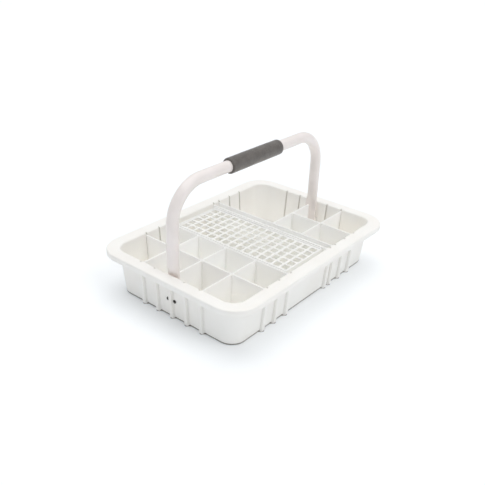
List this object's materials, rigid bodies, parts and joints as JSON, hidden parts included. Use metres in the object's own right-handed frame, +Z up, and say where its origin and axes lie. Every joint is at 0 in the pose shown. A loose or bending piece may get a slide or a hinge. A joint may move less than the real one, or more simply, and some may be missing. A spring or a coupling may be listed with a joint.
{
  "type": "cleaning caddy",
  "caption": "Shallow rimmed tub for cleaning supplies, with lift-out dividers, a perforated insert and a bent tube carrying handle with a foam grip.",
  "frame": {"origin": "centre of the tub's underside, on the surface it stands on", "axes": "+X along the tub's length and the handle's bar, towards the bay with the open compartment; +Y across the tub, towards that open compartment; +Z up"},
  "size_m": [0.452, 0.3204, 0.2447],
  "materials": {
    "moulded_plastic": "off-white moulded plastic, satin with a faint grain",
    "divider_plastic": "off-white sheet plastic, satin, slightly translucent at the edges",
    "insert_plastic": "off-white moulded plastic, satin",
    "coated_tube": "warm white powder coat with a soft sheen",
    "grip_foam": "dark grey closed-cell foam, dull and slightly pitted",
    "dark_screw": "blackened steel, worn bright on the edges",
    "zinc_steel": "bright zinc plate"
  },
  "bodies": {
    "carrier": {"tub": "moulded_plastic", "handle_tube": "coated_tube", "foam_grip": "grip_foam", "screw_left_front": "dark_screw", "washer_left_front": "zinc_steel", "nut_left_front": "zinc_steel", "screw_left_back": "dark_screw", "washer_left_back": "zinc_steel", "nut_left_back": "zinc_steel", "screw_right_front": "dark_screw", "washer_right_front": "zinc_steel", "nut_right_front": "zinc_steel", "screw_right_back": "dark_screw", "washer_right_back": "zinc_steel", "nut_right_back": "zinc_steel"},
    "insert": {"perforated_insert": "insert_plastic"},
    "left_partition": {"left_partition": "divider_plastic"},
    "channel_partition": {"channel_partition": "divider_plastic"},
    "right_partition": {"right_partition": "divider_plastic"},
    "left_back_divider": {"left_back_divider": "divider_plastic"},
    "left_centre_divider": {"left_centre_divider": "divider_plastic"},
    "left_front_divider": {"left_front_divider": "divider_plastic"},
    "right_centre_divider": {"right_centre_divider": "divider_plastic"},
    "right_front_divider": {"right_front_divider": "divider_plastic"},
    "left_back_cross_divider": {"left_back_cross_divider": "divider_plastic"},
    "left_front_cross_divider": {"left_front_cross_divider": "divider_plastic"},
    "right_cross_divider": {"right_cross_divider": "divider_plastic"}
  },
  "joints": [
    {"name": "insert_lift", "type": "slide", "parent": "carrier", "child": "insert", "axis": [0, 0, 1], "range_m": [0, 0.09]},
    {"name": "left_partition_lift", "type": "slide", "parent": "carrier", "child": "left_partition", "axis": [0, 0, 1], "range_m": [0, 0.09]},
    {"name": "channel_partition_lift", "type": "slide", "parent": "carrier", "child": "channel_partition", "axis": [0, 0, 1], "range_m": [0, 0.09]},
    {"name": "right_partition_lift", "type": "slide", "parent": "carrier", "child": "right_partition", "axis": [0, 0, 1], "range_m": [0, 0.09]},
    {"name": "left_back_divider_lift", "type": "slide", "parent": "left_back_cross_divider", "child": "left_back_divider", "axis": [0, 0, 1], "range_m": [0, 0.09]},
    {"name": "left_centre_divider_lift", "type": "slide", "parent": "carrier", "child": "left_centre_divider", "axis": [0, 0, 1], "range_m": [0, 0.09]},
    {"name": "left_front_divider_lift", "type": "slide", "parent": "left_front_cross_divider", "child": "left_front_divider", "axis": [0, 0, 1], "range_m": [0, 0.09]},
    {"name": "right_centre_divider_lift", "type": "slide", "parent": "carrier", "child": "right_centre_divider", "axis": [0, 0, 1], "range_m": [0, 0.09]},
    {"name": "right_front_divider_lift", "type": "slide", "parent": "right_cross_divider", "child": "right_front_divider", "axis": [0, 0, 1], "range_m": [0, 0.09]},
    {"name": "left_back_cross_divider_lift", "type": "slide", "parent": "carrier", "child": "left_back_cross_divider", "axis": [0, 0, 1], "range_m": [0, 0.09]},
    {"name": "left_front_cross_divider_lift", "type": "slide", "parent": "carrier", "child": "left_front_cross_divider", "axis": [0, 0, 1], "range_m": [0, 0.09]},
    {"name": "right_cross_divider_lift", "type": "slide", "parent": "carrier", "child": "right_cross_divider", "axis": [0, 0, 1], "range_m": [0, 0.09]}
  ]
}
